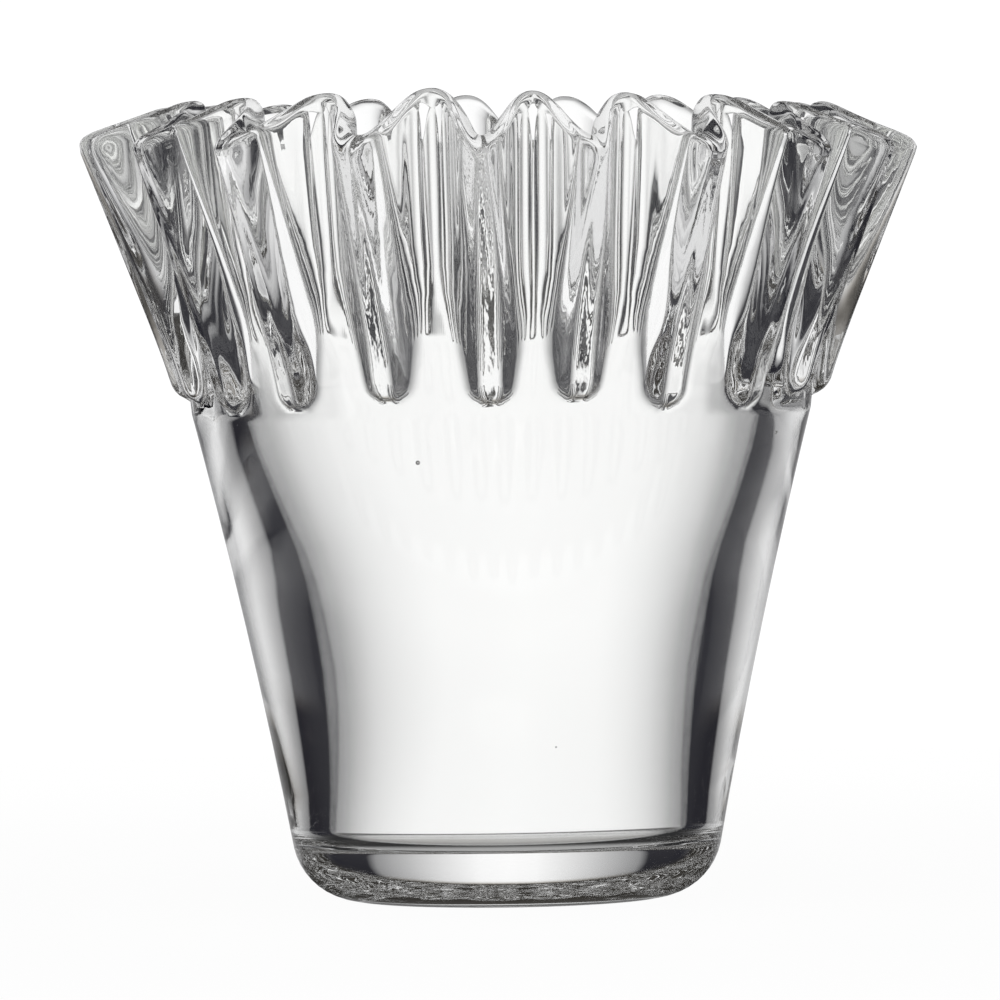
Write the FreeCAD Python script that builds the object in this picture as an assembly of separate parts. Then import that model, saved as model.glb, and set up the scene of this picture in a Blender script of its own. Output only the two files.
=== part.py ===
import FreeCAD, Part
import math
import os

from FreeCAD import Vector

# A rose bowl vase of thick clear glass: a heavy rounded foot, a smooth flaring bowl and a
# collar of upright pleats, whose fins stand out all round the lip.
# Millimetres, +Z up, origin at the centre of the face that the vase stands on.
# The fins are evenly spaced, and the front one stands a few degrees off -Y.

# Foot
foot_radius = 40.5
heel_height = 10.0
heel_flats = 5
rest_width = 7.0
kick_depth = 1.2
floor_thickness = 11.4
well_corner = 4.0
well_wall = 6.6

# Bowl, straight outside and flared inside from its waist up
shoulder_radius = 58.9
shoulder_height = 92.7
waist_height = 45.0
waist_wall = 11.5
shoulder_wall = 8.0

# Pleated collar: flutes run up between the fins, and grooves run up inside behind them
pleat_count = 20
collar_turn = -3.3
collar_height = 59.0
lip_angle = 30.4
flute_reach = 5.35
flute_start = 0.3
flute_lip_cut = 0.65
flute_root_radius = 4.75
flute_flank_angle = 23.5
flute_wall = 3.8
fin_reach = 20.7
fin_start = 1.07
fin_web = 9.15
crown_width = 4.0
crown_angle = 40.0
nose_rise = 2.1
nose_angle = 40.0

# How far a cutting shape runs past what it cuts
overrun = 2.0

ORIGIN = Vector()
UP = Vector(0, 0, 1)

well_height = floor_thickness + well_corner
lip_height = shoulder_height + collar_height
flute_lip_radius = shoulder_radius + flute_reach
fin_lip_radius = shoulder_radius + fin_reach
lip_slope = math.tan(math.radians(lip_angle))
lip_drop = lip_slope * (fin_lip_radius - flute_lip_radius)
bowl_slope = (shoulder_radius - foot_radius) / (shoulder_height - heel_height)
pitch = 360.0 / pleat_count
half_pitch = math.radians(pitch / 2)


def point(radius, height):
    return Vector(radius, 0, height)


def line(start, end):
    return Part.LineSegment(start, end).toShape()


def outline(*points):
    """Straight edges through points given as (radius, height), and back to the first."""
    corners = [point(radius, height) for radius, height in points]
    return Part.makePolygon(corners + corners[:1]).Edges


def spun(*points):
    """A solid of revolution about the vase's axis, from a closed outline."""
    return Part.Face(Part.Wire(outline(*points))).revolve(ORIGIN, UP, 360)


# Foot and bowl

def outer_radius(height):
    """Radius of the bowl's straight outer wall, carried down through the heel."""
    return foot_radius + bowl_slope * (height - heel_height)


well_radius = outer_radius(well_height) - well_wall
shoulder_inner_radius = shoulder_radius - shoulder_wall


def heel():
    """Points up the heel, from the flat rest to the wall: a round in even, narrow flats."""
    turn = math.pi / 2 - math.atan(bowl_slope)
    leg = math.hypot(heel_height, bowl_slope * heel_height)
    radius = leg / math.tan(turn / 2)
    rest_radius = outer_radius(0) - leg
    angles = [turn * step / heel_flats for step in range(heel_flats + 1)]
    return [
        (rest_radius + radius * math.sin(angle), radius - radius * math.cos(angle))
        for angle in angles
    ]


def foot():
    """Thick rounded foot, hollowed underneath, with the floor of the bowl in its top."""
    round_heel = heel()
    kick_radius = round_heel[0][0] - rest_width
    return spun(
        (0, kick_depth),
        (kick_radius - kick_depth, kick_depth),
        (kick_radius, 0),
        *round_heel,
        (outer_radius(well_height), well_height),
        (well_radius, well_height),
        (well_radius - well_corner, floor_thickness),
        (0, floor_thickness),
    )


def bowl_wall():
    """Smooth wall between the foot and the collar, thickest at its waist."""
    return spun(
        (outer_radius(well_height), well_height),
        (shoulder_radius, shoulder_height),
        (shoulder_inner_radius, shoulder_height),
        (outer_radius(waist_height) - waist_wall, waist_height),
        (well_radius, well_height),
    )


# The collar is one pleat, with its fin along +X, repeated round the axis

core_radius = shoulder_inner_radius - overrun
clear_radius = 2 * fin_lip_radius
clear_height = lip_height + collar_height


def lip_line(radius):
    """Height of the lip, which falls from the flutes to the tips of the fins."""
    return lip_height - lip_slope * (radius - flute_lip_radius)


def sector(*points):
    """One pitch of a solid of revolution, centred on +X."""
    face = Part.Face(Part.Wire(outline(*points)))
    face.rotate(ORIGIN, UP, -pitch / 2)
    return face.revolve(ORIGIN, UP, pitch)


def slab(*points):
    """A solid of straight depth along Y, for cutting one pleat with flat faces."""
    prism = Part.Face(Part.Wire(outline(*points))).extrude(Vector(0, 2 * clear_radius, 0))
    prism.translate(Vector(0, -clear_radius, 0))
    return prism


def trough(root_radius, root, flank_angle, depth):
    """A U in the XY plane that opens along +X, out to depth.

    root is the X of its rounded end, and the flanks leave the arc at flank_angle from X.
    """
    angle = math.radians(flank_angle)
    flank_x = root + root_radius * (1 - math.sin(angle))
    flank_y = root_radius * math.cos(angle)
    end_y = flank_y + (depth - flank_x) * math.tan(angle)
    left, right = Vector(flank_x, flank_y, 0), Vector(flank_x, -flank_y, 0)
    end_left, end_right = Vector(depth, end_y, 0), Vector(depth, -end_y, 0)
    return Part.Face(Part.Wire([
        line(end_right, right),
        Part.Arc(right, Vector(root, 0, 0), left).toShape(),
        line(left, end_left),
        line(end_left, end_right),
    ]))


def crown():
    """A fin's section in the XY plane: a flat outer edge at X = 0, and flanks that spread inward."""
    depth = fin_lip_radius - core_radius
    half_width = crown_width / 2
    half_root = half_width + depth * math.tan(math.radians(crown_angle))
    corners = [
        Vector(0, -half_width, 0),
        Vector(0, half_width, 0),
        Vector(-depth, half_root, 0),
        Vector(-depth, -half_root, 0),
    ]
    return Part.Face(Part.makePolygon(corners + corners[:1]))


def leaning(face, start_radius, slope, angle):
    """A section drawn up the collar along a line that leans out from the shoulder."""
    length = 2 * collar_height
    prism = face.extrude(Vector(0, 0, length + collar_height))
    prism.translate(Vector(0, 0, -collar_height))
    prism.rotate(ORIGIN, Vector(0, 1, 0), math.degrees(math.atan(slope)))
    prism.translate(Vector(start_radius, 0, shoulder_height))
    prism.rotate(ORIGIN, UP, angle)
    return prism


def flute_prisms(inset):
    """The two flutes beside a fin, moved into the glass by inset."""
    start_radius = shoulder_radius + flute_start
    slope = (flute_lip_radius - start_radius) / collar_height
    section = trough(
        flute_root_radius + inset, -inset, flute_flank_angle, fin_lip_radius - core_radius
    )
    return [leaning(section, start_radius, slope, side * pitch / 2) for side in (-1, 1)]


def fin():
    """A flat-edged fin that leans outward, its nose cut back where it springs from the bowl."""
    start_radius = shoulder_radius + fin_start
    slope = (fin_lip_radius - start_radius) / (collar_height - lip_drop)
    nose_radius = shoulder_radius + bowl_slope * nose_rise
    nose_height = shoulder_height + nose_rise
    nose_run = math.tan(math.radians(nose_angle))

    def nose_line(radius):
        return nose_height + (radius - nose_radius) * nose_run

    above_nose = slab(
        (core_radius, nose_line(core_radius)),
        (clear_radius, nose_line(clear_radius)),
        (clear_radius, clear_height + clear_radius),
        (core_radius, clear_height + clear_radius),
    )
    return leaning(crown(), start_radius, slope, 0).common(above_nose)


def inside_of_collar():
    """The space inside the lip: a flaring cone, entered by the backs of the flutes."""
    tip_radius = fin_lip_radius - fin_web
    flare = (tip_radius - shoulder_inner_radius) / (collar_height - lip_drop)

    def flare_radius(height):
        return shoulder_inner_radius + flare * (height - shoulder_height)

    low = shoulder_height - overrun
    space = sector(
        (core_radius / 2, low),
        (flare_radius(low), low),
        (flare_radius(clear_height), clear_height),
        (core_radius / 2, clear_height),
    )
    for back in flute_prisms(flute_wall):
        space = space.cut(back)
    return space


def pleat():
    """One fin and half a flute on each side, between the planes that halve the flutes."""
    ring_radius = flute_lip_radius + flute_lip_cut
    ring_slope = (ring_radius - shoulder_radius) / collar_height
    clear_rise = clear_height - shoulder_height
    body = sector(
        (core_radius, shoulder_height),
        (shoulder_radius, shoulder_height),
        (shoulder_radius + ring_slope * clear_rise, clear_height),
        (core_radius, clear_height),
    )
    body = body.fuse(fin())
    for flute in flute_prisms(0):
        body = body.cut(flute)
    body = body.cut(inside_of_collar())
    within_lip = sector(
        (core_radius - overrun, shoulder_height),
        (clear_radius, shoulder_height),
        (clear_radius, lip_line(clear_radius)),
        (core_radius - overrun, lip_line(core_radius - overrun)),
    )
    return max(body.common(within_lip).Solids, key=lambda solid: solid.Volume)


def between_pleats(face):
    """True for the flat faces along which a pleat meets the next."""
    if not isinstance(face.Surface, Part.Plane):
        return False
    middle = face.CenterOfMass
    return abs(abs(math.atan2(middle.y, middle.x)) - half_pitch) < 1e-6


def pleated_collar():
    """The pleats joined all round into one piece of glass."""
    skin = [face for face in pleat().Faces if not between_pleats(face)]
    faces = []
    for number in range(pleat_count):
        for face in skin:
            copy = face.copy()
            copy.rotate(ORIGIN, UP, number * pitch + collar_turn - 90)
            faces.append(copy)
    shell = Part.makeShell(faces)
    shell.sewShape()
    return Part.makeSolid(shell).removeSplitter()


os.makedirs("parts", exist_ok=True)
for node in (foot, bowl_wall, pleated_collar):
    shape = node()
    shape.exportStep("parts/" + node.__name__ + ".step")
    print(node.__name__, "valid", shape.isValid(), "volume", round(shape.Volume))
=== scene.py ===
import math

import bmesh
import bpy
import numpy as np
from mathutils import Matrix, Quaternion, Vector


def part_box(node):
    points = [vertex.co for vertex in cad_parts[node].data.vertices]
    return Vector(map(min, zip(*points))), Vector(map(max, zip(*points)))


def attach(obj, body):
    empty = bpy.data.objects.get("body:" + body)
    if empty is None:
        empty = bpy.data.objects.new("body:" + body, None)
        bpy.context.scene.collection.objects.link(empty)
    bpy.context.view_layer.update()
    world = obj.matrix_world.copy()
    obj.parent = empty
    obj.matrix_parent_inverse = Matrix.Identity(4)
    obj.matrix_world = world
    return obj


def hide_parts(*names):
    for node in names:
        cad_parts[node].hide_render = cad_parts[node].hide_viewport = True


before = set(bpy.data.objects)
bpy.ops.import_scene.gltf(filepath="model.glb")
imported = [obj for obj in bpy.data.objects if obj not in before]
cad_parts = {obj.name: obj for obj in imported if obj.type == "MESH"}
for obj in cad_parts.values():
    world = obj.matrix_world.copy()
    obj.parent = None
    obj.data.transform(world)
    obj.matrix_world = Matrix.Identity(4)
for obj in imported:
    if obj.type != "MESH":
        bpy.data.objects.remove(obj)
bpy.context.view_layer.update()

mm = 0.001

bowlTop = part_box("bowl_wall")[1].z
print("frame loaded")


# Shader maths: a wrapped socket whose operators add Math nodes

class Shade:
    def __init__(self, tree, socket):
        self.tree = tree
        self.socket = socket

    def math(self, operation, *others):
        node = addNode(self.tree, "ShaderNodeMath", {"operation": operation}, self, *others)
        return Shade(self.tree, node.outputs[0])

    def __add__(self, other):
        return self.math("ADD", other)

    __radd__ = __add__

    def __sub__(self, other):
        return self.math("SUBTRACT", other)

    def __rsub__(self, other):
        return self.math("MULTIPLY_ADD", -1, other)

    def __mul__(self, other):
        return self.math("MULTIPLY", other)

    __rmul__ = __mul__

    def step(self, low, high):  # 0 below low, 1 above high, smooth between
        node = addNode(self.tree, "ShaderNodeMapRange", {"interpolation_type": "SMOOTHSTEP"},
                       Value=self, From_Min=low, From_Max=high)
        return Shade(self.tree, node.outputs["Result"])


def feed(tree, slot, value):
    # a link from a socket, wrapped or not, and anything else as a plain value
    if isinstance(value, Shade):
        value = value.socket
    if isinstance(value, bpy.types.NodeSocket):
        tree.links.new(value, slot)
    else:
        slot.default_value = value


def setStops(elements, stops):
    # the stops of a colour ramp, each a place and a grey light
    while len(elements) < len(stops):
        elements.new(1.0)
    for element, (place, light) in zip(elements, stops):
        element.position = place
        element.color = (light, light, light, 1)


def addNode(tree, kind, settings=None, *values, **sockets):
    # values feed the first sockets in their order, and sockets the ones they name
    node = tree.nodes.new(kind)
    for name, value in (settings or {}).items():
        if name == "stops":
            setStops(node.color_ramp.elements, value)
        else:
            setattr(node, name, value)
    for slot, value in zip(node.inputs, values):
        feed(tree, slot, value)
    for name, value in sockets.items():
        feed(tree, node.inputs[name.replace("_", " ")], value)
    return node


def newMaterial(name):
    material = bpy.data.materials.new(name)
    material.use_nodes = True
    material.node_tree.nodes.clear()
    return material, material.node_tree


def splitVector(tree, vector):
    parts = addNode(tree, "ShaderNodeSeparateXYZ", Vector=vector)
    return [Shade(tree, parts.outputs[axis]) for axis in "XYZ"]


def greyOf(tree, light):
    return addNode(tree, "ShaderNodeCombineColor", Red=light, Green=light, Blue=light).outputs[0]


# The vase: one profile spun round the axis, then drawn into pleats

vase = {
    # Foot
    "footRadius": 40.6 * mm,
    "heelHeight": 10.0 * mm,
    "restWidth": 7.0 * mm,
    "kickDepth": 1.1 * mm,
    "floorHeight": 11.5 * mm,
    # Bowl, and its inside from the floor up
    "shoulderHeight": bowlTop,
    "shoulderRadius": 58.8 * mm,
    "wallBow": 0.75 * mm,             # how far the outer wall sags inward
    "wellHeight": 15.6 * mm,
    "wellRadius": 34.0 * mm,
    "waist": [(28 * mm, 34.2 * mm), (44 * mm, 35.3 * mm), (60 * mm, 38.9 * mm), (75 * mm, 44.4 * mm)],
    "waistPasses": 150,               # how smooth the line through the waist is
    "shoulderInner": 50.4 * mm,
    "cavityAside": 0.7 * mm,          # how far the inside stands off centre
    # Lip, as heights above the shoulder
    "collarHeight": 59.0 * mm,
    "lipDrop": 9.6 * mm,              # from a flute's lip to the tip of a fin
    "lipWave": 5.0 * mm,              # part of it that falls round the lip, the rest falls outward
    "crestHeight": 60.8 * mm,
    "crestWave": 1.3 * mm,
    "crestTurn": math.radians(-8),
    "crestUneven": 0.3 * mm,
    "crestCycles": 7,
    "crestBreadth": 1.2,
    "sideLift": 2.2 * mm,
    "leftLift": 0.8 * mm,
    "lipTilt": 0.55 * mm,             # the left side stands higher than the right
    "lipRound": 2.3 * mm,
    "lipSquare": 0.75,                # 1 for a round lip, less for a flat one with round edges
    # Flutes
    "fluteRadius": 59.2 * mm,         # at the shoulder
    "fluteLipRadius": 64.25 * mm,
    "fluteLipCut": 0.65 * mm,
    "fluteRoot": 4.75 * mm,
    "fluteFlank": math.radians(23.5),
    "fluteWall": 3.8 * mm,
    # Fins
    "finRadius": 59.97 * mm,          # at the shoulder
    "finLipRadius": 79.7 * mm,
    "finWeb": 9.15 * mm,
    "finReach": 79.55 * mm,           # no fin stands out further than this
    "crownHalf": 2.0 * mm,            # half the width of a fin's flat outer edge
    "crownFlank": math.radians(35),
    "noseLow": 1.9 * mm,              # lowest point of a fin's nose above the shoulder
    "noseRound": 3.2 * mm,
    "noseSwell": 1.5 * mm,
    "noseLength": 6.0 * mm,
    "foldBlend": 0.4 * mm,            # how far the folds between a pleat's faces are rounded
    # Pressed by hand, so no two fins are quite alike: where each one points, in degrees round
    # from the front, then how much they differ, the turn from fin to fin and that of the first
    "finAngles": [-1.8, 13.7, 30.6, 49.8, 68.6, 86.7, 104.5, 122.9, 140.5, 158.9,
                  176.6, 194.6, 212.4, 231.0, 248.6, 267.0, 285.6, 302.4, 320.3, 339.6],
    "tipUneven": (0.25 * mm, 2.4, 0.7),
    "noseUneven": (1.1 * mm, 1.7, 0.4),
    # Seeds in the wall, as x, height, depth in the wall and radius
    "seeds": [(-15.3 * mm, 84.6 * mm, 3.0 * mm, 0.42 * mm), (50.6 * mm, 88.6 * mm, 1.6 * mm, 0.35 * mm),
              (9.0 * mm, 31.0 * mm, 4.0 * mm, 0.16 * mm)],
    # The mesh
    "columnsPerPleat": 52,
    "crowding": 1.6,                  # how much closer the columns stand at a fin's edge
    "crownCrowd": 3.5 * mm,           # how far that reaches, there and at a flute's middle
    "rootCrowd": 5.0 * mm,
    "rootCrowding": 0.7,              # how strong it is at a flute's middle, as a part of crowding
    "softening": 5,
    "pleatPoints": 90,                # points along half a pleat before they are spread
    "settling": 4,                    # passes that bring the radius and the height together
    "undersideRows": 6,
    "heelRows": 10,
    "lipRows": 12,
    "cavityRows": 14,
    "cornerRows": 6,
    "wallShares": [0.12, 0.25, 0.38, 0.51, 0.64, 0.77, 0.89, 0.96, 0.99],
    "outerShares": [0.0, 0.013, 0.026, 0.038, 0.05, 0.062, 0.076, 0.093, 0.115, 0.14, 0.17, 0.205,
                    0.25, 0.31, 0.38, 0.46, 0.55, 0.64, 0.73, 0.81, 0.88, 0.94, 0.97],
    "innerShares": [0.97, 0.92, 0.84, 0.75, 0.65, 0.55, 0.45, 0.36, 0.28, 0.21, 0.15, 0.09, 0.04, 0.0],
    "floorShares": [0.75, 0.4, 0.0],
    "weld": 0.001 * mm,
}
pleatCount = len(vase["finAngles"])
columnCount = pleatCount * vase["columnsPerPleat"]


def wallRadius(height):
    v = vase
    share = (height - v["heelHeight"]) / (v["shoulderHeight"] - v["heelHeight"])
    straight = v["footRadius"] + (v["shoulderRadius"] - v["footRadius"]) * share
    return straight - 4 * v["wallBow"] * share * (1 - share)


def smoothRun(knots, count, samples=200):
    # a smooth line through (height, radius) knots, read off at even heights
    heights = np.array([height for height, radius in knots])
    radii = np.array([radius for height, radius in knots])
    fine = np.linspace(heights[0], heights[-1], samples)
    line = np.interp(fine, heights, radii)
    for _ in range(vase["waistPasses"]):
        line[1:-1] = (line[:-2] + 2 * line[1:-1] + line[2:]) / 4
    wanted = np.linspace(heights[0], heights[-1], count)
    return [(float(radius), float(height)) for height, radius in zip(wanted, np.interp(wanted, fine, line))]


def footRows():
    # from the middle of the underside, over the flat rest and round the heel
    v = vase
    slope = (v["shoulderRadius"] - v["footRadius"]) / (v["shoulderHeight"] - v["heelHeight"])
    turn = math.pi / 2 - math.atan(slope)
    corner = v["footRadius"] - slope * v["heelHeight"]
    leg = math.hypot(v["heelHeight"], slope * v["heelHeight"])
    heelRadius = leg / math.tan(turn / 2)
    rest = corner - leg
    kick = rest - v["restWidth"]
    rows = []
    for i in range(v["undersideRows"] + 1):
        share = i / v["undersideRows"]
        rows.append(("plain", kick * share, v["kickDepth"] * (0.5 + 0.5 * math.cos(math.pi * share))))
    for i in range(v["heelRows"] + 1):
        angle = turn * i / v["heelRows"]
        rows.append(("plain", rest + heelRadius * math.sin(angle), heelRadius * (1 - math.cos(angle))))
    return rows


def lipRows():
    # over the lip, from its outer edge to its inner one
    v = vase
    rows = []
    for i in range(1, v["lipRows"]):
        angle = math.pi * i / v["lipRows"]
        bow = math.copysign(abs(math.cos(angle)) ** v["lipSquare"], math.cos(angle))
        rows.append(("lip", 0.5 + 0.5 * bow, math.sin(angle) ** v["lipSquare"]))
    return rows


def cavityRows():
    # down the inside of the bowl and in to the middle of its floor
    v = vase
    knots = [(v["wellHeight"], v["wellRadius"]), *v["waist"], (v["shoulderHeight"], v["shoulderInner"])]
    down = smoothRun(knots, v["cavityRows"])[::-1]
    rows = [("plain", radius, height) for radius, height in down[1:]]
    cornerRound = v["wellHeight"] - v["floorHeight"]
    floorRadius = v["wellRadius"] - cornerRound
    for i in range(1, v["cornerRows"] + 1):
        angle = math.pi / 2 * i / v["cornerRows"]
        rows.append(("plain", floorRadius + cornerRound * math.cos(angle),
                     v["wellHeight"] - cornerRound * math.sin(angle)))
    rows += [("plain", floorRadius * share, v["floorHeight"]) for share in v["floorShares"]]
    return rows


def profileRows():
    # Every row of the profile, in order. A plain one is its kind, radius and height. One of the
    # collar or the lip is its kind, its share across the wall from the inside, and its height as
    # a share of the collar's, or of the lip's round.
    v = vase
    rows = footRows()
    for share in v["wallShares"]:
        height = v["heelHeight"] + (v["shoulderHeight"] - v["heelHeight"]) * share
        rows.append(("plain", wallRadius(height), height))
    rows += [("collar", 1.0, share) for share in v["outerShares"]]
    rows += lipRows()
    rows += [("collar", 0.0, share) for share in v["innerShares"]]
    rows += cavityRows()
    return rows


def cavityShift(height):
    # the bowl's inside stands a little off centre between its floor and the collar
    v = vase
    share = (height - v["floorHeight"]) / (v["shoulderHeight"] - v["floorHeight"])
    return v["cavityAside"] * math.sin(math.pi * min(max(share, 0), 1))


def spread(x, y, count):
    # count + 1 points along the line through x, y, crowded towards its two ends
    v = vase
    steps = np.hypot(np.diff(x), np.diff(y))
    along = np.concatenate([[0], np.cumsum(steps)])
    toEnd = along[-1] - along[1:]
    near = np.exp(-((along[1:] / v["crownCrowd"]) ** 2))
    near = near + v["rootCrowding"] * np.exp(-((toEnd / v["rootCrowd"]) ** 2))
    share = np.concatenate([[0], np.cumsum(steps * (1 + v["crowding"] * near))])
    wanted = np.linspace(0, share[-1], count + 1)
    return np.interp(wanted, share, x), np.interp(wanted, share, y)


def crestHeight(angle):
    # the lip over a flute stands higher in front and behind than at the sides, and no two match
    v = vase
    turn = math.radians(angle)
    fall = v["crestWave"] * (1 - math.cos(2 * (turn - v["crestTurn"])))
    return v["crestHeight"] - fall - v["crestUneven"] * (1 + math.sin(v["crestCycles"] * turn))


def finLift(angle):
    # the fins at the sides stand taller than those in front and behind, most of all on the left
    turn = math.radians(angle)
    return vase["sideLift"] * (1 - math.cos(2 * turn)) / 2 - vase["leftLift"] * math.sin(turn)


def uneven(number, size, turn, first):
    return size * math.sin(turn * number + first)


def lipHeight(radius, toFin, crest, lift):
    # toFin is 0 at a flute's middle and 1 at a fin's, crest the lip's height over the flute
    v = vase
    wave = (1 - np.cos(math.pi * np.clip(toFin, 0, 1) ** v["crestBreadth"])) / 2
    slope = (v["lipDrop"] - v["lipWave"]) / (v["finReach"] - v["fluteLipRadius"])
    low = v["collarHeight"] - v["lipWave"] + lift
    return crest + (low - crest) * wave - slope * np.maximum(radius - v["fluteLipRadius"], 0)


def softMin(a, b, blend):
    # the smaller of two, with the fold between them rounded
    return (a + b - np.sqrt((a - b) ** 2 + blend * blend)) / 2


def finRadiusAt(angle, tip, half):
    # radius of a fin's flat edge and its flanks, seen from the axis at an angle from its middle
    flank = math.tan(vase["crownFlank"])
    side = (half + flank * tip) / (np.sin(angle) + flank * np.cos(angle))
    return np.minimum(tip / np.cos(angle), side)


def fluteRadiusAt(angle, halfPitch, root, inset):
    # radius of a flute's wall, seen from the axis: its round root, then its flank
    around = vase["fluteRoot"] + inset
    middle = root + vase["fluteRoot"]
    fromFlute = halfPitch - angle
    reach = np.sqrt(np.maximum(around * around - (middle * np.sin(fromFlute)) ** 2, 0))
    bowl = middle * np.cos(fromFlute) - reach
    lean = vase["fluteFlank"] - halfPitch
    normal = -lean - math.pi / 2
    x = middle * np.cos(halfPitch) + around * np.cos(normal)
    y = middle * np.sin(halfPitch) + around * np.sin(normal)
    side = (y + np.tan(lean) * x) / (np.sin(angle) + np.tan(lean) * np.cos(angle))
    return np.where(angle < np.arctan2(y, x), side, bowl)


def outerRadius(angle, rise, halfPitch, tipOut, noseUp):
    # the outside of half a pleat: the ring behind the fins, then a fin, cut by a flute
    v = vase
    wide = rise / v["collarHeight"]
    body = v["shoulderRadius"] + (v["fluteLipRadius"] + v["fluteLipCut"] - v["shoulderRadius"]) * wide
    slant = (v["finLipRadius"] + tipOut - v["finRadius"]) / (v["collarHeight"] - v["lipDrop"])
    grown = np.clip((rise - v["noseLow"] - noseUp) / v["noseRound"], 0, 1)
    blunt = np.sqrt(grown * (2 - grown))
    swell = v["noseSwell"] * np.exp(-rise / v["noseLength"])
    tip = body + (v["finRadius"] + slant * rise + swell - body) * blunt
    root = v["fluteRadius"] + (v["fluteLipRadius"] - v["fluteRadius"]) * wide
    fin = finRadiusAt(angle, tip, v["crownHalf"] * blunt)
    outside = -softMin(-body, -fin, v["foldBlend"] * blunt)
    return softMin(outside, fluteRadiusAt(angle, halfPitch, root, 0), v["foldBlend"])


def innerRadius(angle, rise, halfPitch):
    # the inside of half a pleat: a flaring cone, entered by the back of a flute
    v = vase
    root = v["fluteRadius"] + (v["fluteLipRadius"] - v["fluteRadius"]) * (rise / v["collarHeight"])
    flare = (v["finLipRadius"] - v["finWeb"] - v["shoulderInner"]) / (v["collarHeight"] - v["lipDrop"])
    cone = v["shoulderInner"] + flare * rise
    return softMin(cone, fluteRadiusAt(angle, halfPitch, root, v["fluteWall"]), 2 * v["foldBlend"])


def halfPleat(across, share, halfPitch, tipOut, noseUp, crest, lift):
    # One row of half a pleat, from the fin's middle to the flute's, as x, y and height
    v = vase
    angle = np.linspace(0, halfPitch, v["pleatPoints"])
    rise = np.full(v["pleatPoints"], share * (v["collarHeight"] - v["lipDrop"] / 2))
    for _ in range(v["settling"]):
        outside = outerRadius(angle, rise, halfPitch, tipOut, noseUp)
        inside = innerRadius(angle, rise, halfPitch)
        radius = inside + across * (outside - inside)
        rise = share * lipHeight(radius, 1 - angle / halfPitch, crest, lift)
    outerX, outerY = spread(outside * np.cos(angle), outside * np.sin(angle), v["columnsPerPleat"] // 2)
    innerX, innerY = spread(inside * np.cos(angle), inside * np.sin(angle), v["columnsPerPleat"] // 2)
    x = innerX + across * (outerX - innerX)
    y = innerY + across * (outerY - innerY)
    height = share * lipHeight(np.hypot(x, y), 1 - np.arctan2(y, x) / halfPitch, crest, lift)
    return x, y, height


def ringOf(kind, across, share):
    # A whole row of the collar or the lip, as lines of x, y and z with a point for each column
    v = vase
    height = share if kind == "collar" else 1 - v["lipRound"] / v["collarHeight"]
    angles = v["finAngles"]
    pleats = []
    for number, angle in enumerate(angles):
        before = ((angle - angles[number - 1]) % 360) / 2
        after = ((angles[(number + 1) % pleatCount] - angle) % 360) / 2
        own = (uneven(number, *v["tipUneven"]), uneven(number, *v["noseUneven"]))
        lift = finLift(angle)
        left = halfPleat(across, height, math.radians(before), *own, crestHeight(angle - before), lift)
        right = halfPleat(across, height, math.radians(after), *own, crestHeight(angle + after), lift)
        turn = math.radians(angle - 90)
        x = np.concatenate([left[0][:0:-1], right[0][:-1]])
        y = np.concatenate([-left[1][:0:-1], right[1][:-1]])
        z = np.concatenate([left[2][:0:-1], right[2][:-1]])
        pleats.append((x * math.cos(turn) - y * math.sin(turn), x * math.sin(turn) + y * math.cos(turn), z))
    x, y, z = [np.concatenate(line) for line in zip(*pleats)]
    for _ in range(v["softening"]):
        x, y, z = [(np.roll(line, 1) + 2 * line + np.roll(line, -1)) / 4 for line in (x, y, z)]
    if kind == "lip":
        z = z + v["lipRound"] * share
    z = z - v["lipTilt"] * x / v["finReach"] * z / v["collarHeight"]
    reach = np.minimum(1, v["finReach"] / np.hypot(x, y))
    return x * reach, y * reach, z + v["shoulderHeight"]


def addSeeds(work):
    # small bubbles in the glass, each a ball whose faces point into it
    for x, z, depth, radius in vase["seeds"]:
        middle = wallRadius(z) - depth
        y = -math.sqrt(middle * middle - x * x)
        made = bmesh.ops.create_icosphere(work, subdivisions=3, radius=radius,
                                          matrix=Matrix.Translation((x, y, z)))
        skin = {face for vertex in made["verts"] for face in vertex.link_faces}
        bmesh.ops.reverse_faces(work, faces=list(skin))


def makeVase():
    rows = profileRows()
    rings = [ringOf(*row) if row[0] != "plain" else None for row in rows]
    kinds = [row[0] for row in rows]
    shoulderX, shoulderY, _ = rings[kinds.index("collar")]
    columnAngle = np.arctan2(shoulderY, shoulderX)
    lipRow = kinds.index("lip")
    stripCount = len(rows) - 1
    work = bmesh.new()
    bmesh.ops.create_grid(work, x_segments=columnCount, y_segments=stripCount, size=1)
    for vertex in work.verts:
        column = round((vertex.co.x + 1) / 2 * columnCount) % columnCount
        number = round((vertex.co.y + 1) / 2 * stripCount)
        kind, radius, height = rows[number]
        if kind == "plain":
            angle = columnAngle[column]
            aside = cavityShift(height) if number > lipRow else 0
            vertex.co = (radius * math.cos(angle) + aside, radius * math.sin(angle), height)
        else:
            vertex.co = [line[column] for line in rings[number]]
    bmesh.ops.remove_doubles(work, verts=work.verts[:], dist=vase["weld"])
    bmesh.ops.recalc_face_normals(work, faces=work.faces[:])
    addSeeds(work)
    for face in work.faces:
        face.smooth = True
    mesh = bpy.data.meshes.new("vase_glass")
    work.to_mesh(mesh)
    work.free()
    piece = bpy.data.objects.new("vase_glass", mesh)
    bpy.context.scene.collection.objects.link(piece)
    return piece


# Glass

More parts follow.
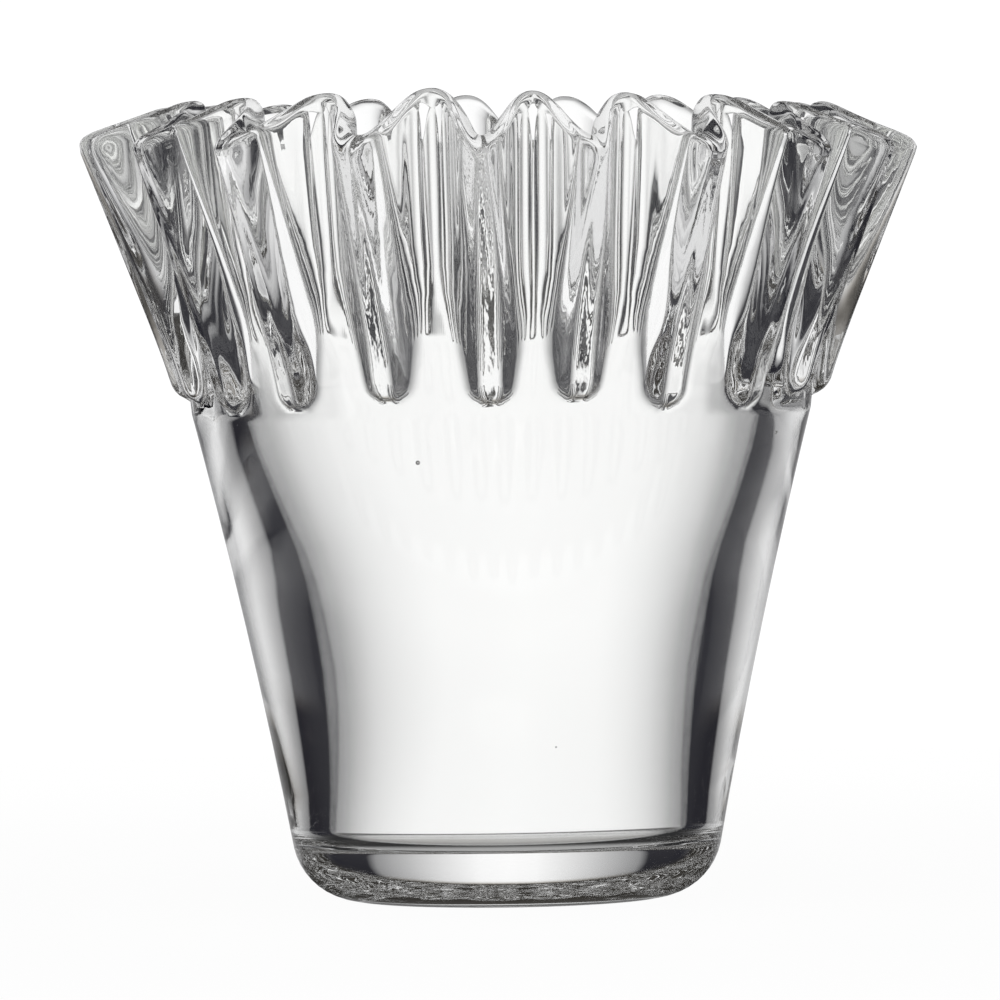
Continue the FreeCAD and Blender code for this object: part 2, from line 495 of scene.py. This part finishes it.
glass = {
    "color": (0.985, 0.987, 0.98, 1),
    "ior": 1.52,
    "waveSize": (55, 55, 9),         # slow waves in the surface, longer up the wall
    "waveDepth": 0.02 * mm,
    "markSize": (560, 560, 230),     # chill marks down the outer edge of each fin
    "markDepth": 0.045 * mm,
    "edgeSlope": 0.385,              # how far the fins' edge moves out for each step up
    "markInside": (1.8 * mm, 0.8 * mm),    # the marks start and are full this far inside the edge
    "markFrom": (95 * mm, 100 * mm),
    "pitSize": (330, 330, 330),      # pits round the heel
    "pitDepth": 0.03 * mm,
    "pitEdge": (0.7, 0.78),
    "pitTop": 6 * mm,
    "pitFrom": (24 * mm, 28 * mm),
}


def noiseAt(tree, place, scale, detail=2.0, roughness=0.5):
    sized = addNode(tree, "ShaderNodeVectorMath", {"operation": "MULTIPLY"}, place, scale)
    node = addNode(tree, "ShaderNodeTexNoise", Vector=sized.outputs[0], Scale=1.0, Detail=detail,
                   Roughness=roughness)
    return Shade(tree, node.outputs["Fac"])


def addBump(tree, height, distance, **under):
    node = addNode(tree, "ShaderNodeBump", Height=height, Distance=distance, Strength=1.0, **under)
    return node.outputs["Normal"]


def glassMaterial():
    g = glass
    material, tree = newMaterial("clear_glass_finish")
    place = addNode(tree, "ShaderNodeTexCoord").outputs["Object"]
    x, y, z = splitVector(tree, place)
    away = (x * x + y * y).math("SQRT")
    wave = noiseAt(tree, place, g["waveSize"], 1.0)
    pits = noiseAt(tree, place, g["pitSize"]).step(*g["pitEdge"])
    pits = pits * (1 - z.step(0, g["pitTop"])) * away.step(*g["pitFrom"])
    edgeRadius = (z - vase["shoulderHeight"]) * g["edgeSlope"] + vase["finRadius"]
    nearEdge = (away - edgeRadius).step(*[-inside for inside in g["markInside"]])
    marks = noiseAt(tree, place, g["markSize"], 2.0, 0.7) * nearEdge * z.step(*g["markFrom"])
    normal = addBump(tree, wave, g["waveDepth"])
    normal = addBump(tree, pits * -1, g["pitDepth"], Normal=normal)
    normal = addBump(tree, marks, g["markDepth"], Normal=normal)
    shader = addNode(tree, "ShaderNodeBsdfPrincipled", Base_Color=g["color"], IOR=g["ior"], Roughness=0.0,
                     Transmission_Weight=1, Normal=normal)
    addNode(tree, "ShaderNodeOutputMaterial", Surface=shader.outputs[0])
    return material


piece = makeVase()
piece.data.materials.append(glassMaterial())
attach(piece, "root")
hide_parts("foot", "bowl_wall", "pleated_collar")
print("vase made:", len(piece.data.polygons), "faces")


# Studio: a lit screen behind, dark cards at both sides of it, and a pale floor, with a painted shadow and
# pool of light under the vase that show in the glass

studio = {
    # Light by the angle round from straight behind, in degrees: the screen, which fades to its
    # edge, the dark card beside it, then the side walls and the wall behind the camera
    "around": [(0, 1.06), (5, 1.03), (12, 0.8), (20, 0.52), (28, 0.3), (31, 0.02), (60, 0.02),
               (75, 0.4), (95, 0.75), (180, 0.88)],
    "rampTop": 1.1,          # a ramp holds no more than 1, so it is brought down by this and back up
    "low": [(0, 0.55), (25, 0.45), (31, 0.03), (58, 0.03), (72, 1.0), (180, 1.0)],  # from below
    "lowFrom": 20.0,
    "high": (0.04, 0.03),    # light from above, from the back and from the front
    "highTurn": (50, 130),
    "highFrom": 13.0,
    "fade": 13.0,
    "mirrored": 0.45,        # share of the light that polished faces mirror
    "warmth": 0.2,           # the light from above is a little brown, the rest a little blue
    "warmthInGreen": 0.4,
    "coolness": 0.006,
    "strength": 1.0,
    "bounces": 40,           # light crosses many folds of the collar
}


def lightAround(side, stops):
    node = addNode(side.tree, "ShaderNodeValToRGB",
                   {"stops": [(angle / 180, light) for angle, light in stops]}, side * (1 / 180))
    return Shade(side.tree, node.outputs["Color"])


def makeWorld():
    world = bpy.data.worlds.new("studio")
    bpy.context.scene.world = world
    world.use_nodes = True
    tree = world.node_tree
    tree.nodes.clear()
    s = studio
    x, y, z = splitVector(tree, addNode(tree, "ShaderNodeTexCoord").outputs["Generated"])
    up = z.math("ARCSINE") * (180 / math.pi)
    side = x.math("ARCTAN2", y).math("ABSOLUTE") * (180 / math.pi)
    level = lightAround(side, [(angle, light / s["rampTop"]) for angle, light in s["around"]]) * s["rampTop"]
    low = lightAround(side, s["low"])
    high = side.step(*s["highTurn"]) * (s["high"][1] - s["high"][0]) + s["high"][0]
    below = (up * -1).step(s["lowFrom"], s["lowFrom"] + s["fade"])
    above = up.step(s["highFrom"], s["highFrom"] + s["fade"])
    light = level * (1 - below) * (1 - above) + low * below + high * above
    rays = addNode(tree, "ShaderNodeLightPath").outputs
    through = Shade(tree, rays["Is Transmission Ray"])
    mirror = Shade(tree, rays["Is Glossy Ray"]) * (1 - through)
    light = light * (1 - mirror * (1 - s["mirrored"]))
    light = light.math("MAXIMUM", Shade(tree, rays["Is Camera Ray"]))
    green = light * (1 - above * (s["warmth"] * s["warmthInGreen"]))
    blue = light * (1 - above * s["warmth"]) + (1 - above) * s["coolness"]
    tinted = addNode(tree, "ShaderNodeCombineColor", Red=light, Green=green, Blue=blue)
    back = addNode(tree, "ShaderNodeBackground", Color=tinted.outputs[0], Strength=s["strength"])
    addNode(tree, "ShaderNodeOutputWorld", Surface=back.outputs[0])


floor = {
    "radius": 500 * mm,
    "sides": 96,
    "drop": 0.2 * mm,
    "color": (0.9, 0.9, 0.9, 1),
    "glow": 0.97,            # share of the floor that shows as plain white
    "fadeShares": (0.25, 0.9),
    "paintedHeelShadow": 0.015,     # painted shadow: how bright the floor glows under the heel, seen in the glass
    "paintedLightPool": 0.4,      # painted pool of light: how bright it glows under the clear middle of the foot, seen in the glass
    "centreRadius": 27 * mm,
    "edgeRadius": 35 * mm,
    "darkRadius": 41 * mm,
    "lightRadius": 75 * mm,
}


def floorMaterial():
    f = floor
    material, tree = newMaterial("pale_floor_painted_shade")
    place = addNode(tree, "ShaderNodeTexCoord").outputs["Object"]
    away = addNode(tree, "ShaderNodeVectorMath", {"operation": "LENGTH"}, place)
    distance = Shade(tree, away.outputs["Value"])
    rays = addNode(tree, "ShaderNodeLightPath").outputs
    seen = Shade(tree, rays["Is Camera Ray"])
    throughGlass = Shade(tree, rays["Is Glossy Ray"]).math("MAXIMUM", rays["Is Transmission Ray"])
    # Seen by itself: white, with a little matte round the vase that takes its shadow
    fade = distance.step(*[f["radius"] * share for share in f["fadeShares"]])
    glow = seen * (f["glow"] + (1 - f["glow"]) * fade)
    matte = addNode(tree, "ShaderNodeBsdfDiffuse", Color=f["color"])
    white = addNode(tree, "ShaderNodeEmission", Color=(1, 1, 1, 1), Strength=1.0)
    plain = addNode(tree, "ShaderNodeMixShader", None, glow, matte.outputs[0], white.outputs[0])
    # Seen in the glass: a painted shadow, dark under the heel, and a painted pool of light in the middle,
    # where light through the clear foot would fall; clear further out
    middle = 1 - distance.step(f["centreRadius"], f["edgeRadius"])
    # painted light and shade: the floor glows with this, though it is no lamp
    light = middle * (f["paintedLightPool"] - f["paintedHeelShadow"]) + f["paintedHeelShadow"]
    under = addNode(tree, "ShaderNodeEmission", Color=greyOf(tree, light), Strength=1.0)
    clear = addNode(tree, "ShaderNodeBsdfTransparent")
    near = distance.step(f["darkRadius"], f["lightRadius"])
    paintedShadeInGlass = addNode(tree, "ShaderNodeMixShader", None, near, under.outputs[0], clear.outputs[0])
    mix = addNode(tree, "ShaderNodeMixShader", None, throughGlass, plain.outputs[0], paintedShadeInGlass.outputs[0])
    addNode(tree, "ShaderNodeOutputMaterial", Surface=mix.outputs[0])
    return material


def makeFloor():
    work = bmesh.new()
    bmesh.ops.create_circle(work, cap_ends=True, segments=floor["sides"], radius=floor["radius"])
    mesh = bpy.data.meshes.new("floor")
    work.to_mesh(mesh)
    work.free()
    mesh.transform(Matrix.Translation((0, 0, -floor["drop"])))
    sheet = bpy.data.objects.new("floor", mesh)
    bpy.context.scene.collection.objects.link(sheet)
    mesh.materials.append(floorMaterial())


camera = {
    "distance": 1.9,
    "height": 0.135,
    "perPixel": 0.19 * mm,     # at the vase
    "pixels": 1000,
    "aimX": -0.5 * mm,
    "aimZ": 75.6 * mm,
    "roll": 0.8,
    "sensor": 36,
    "farthest": 20,
}


def makeCamera():
    data = bpy.data.cameras.new("camera")
    eye = bpy.data.objects.new("camera", data)
    bpy.context.scene.collection.objects.link(eye)
    data.sensor_width = camera["sensor"]
    data.sensor_fit = "HORIZONTAL"
    data.lens = camera["sensor"] * camera["distance"] / (camera["pixels"] * camera["perPixel"])
    data.clip_end = camera["farthest"]
    eye.location = (camera["aimX"], -camera["distance"], camera["height"])
    aim = Vector((camera["aimX"], 0, camera["aimZ"])) - eye.location
    turn = aim.to_track_quat("-Z", "Y")
    turn.rotate(Quaternion(aim, math.radians(camera["roll"])))
    eye.rotation_euler = turn.to_euler()
    bpy.context.scene.camera = eye


softbox = {
    "width": 0.6,
    "depth": 0.4,
    "power": 4,
    "place": (0, -0.2, 1.0),
}


def makeLamp():
    data = bpy.data.lights.new("overhead softbox", "AREA")
    data.shape = "RECTANGLE"
    data.size = softbox["width"]
    data.size_y = softbox["depth"]
    data.energy = softbox["power"]
    lamp = bpy.data.objects.new("overhead softbox", data)
    bpy.context.scene.collection.objects.link(lamp)
    lamp.location = softbox["place"]
    lamp.visible_glossy = False          # seen in the heel it would show as sparkles
    lamp.visible_transmission = False


makeWorld()
makeFloor()
makeCamera()
makeLamp()

scene = bpy.context.scene
scene.view_settings.view_transform = "Standard"
scene.cycles.max_bounces = studio["bounces"]
scene.cycles.transmission_bounces = studio["bounces"]
scene.cycles.glossy_bounces = studio["bounces"]
print("studio made")
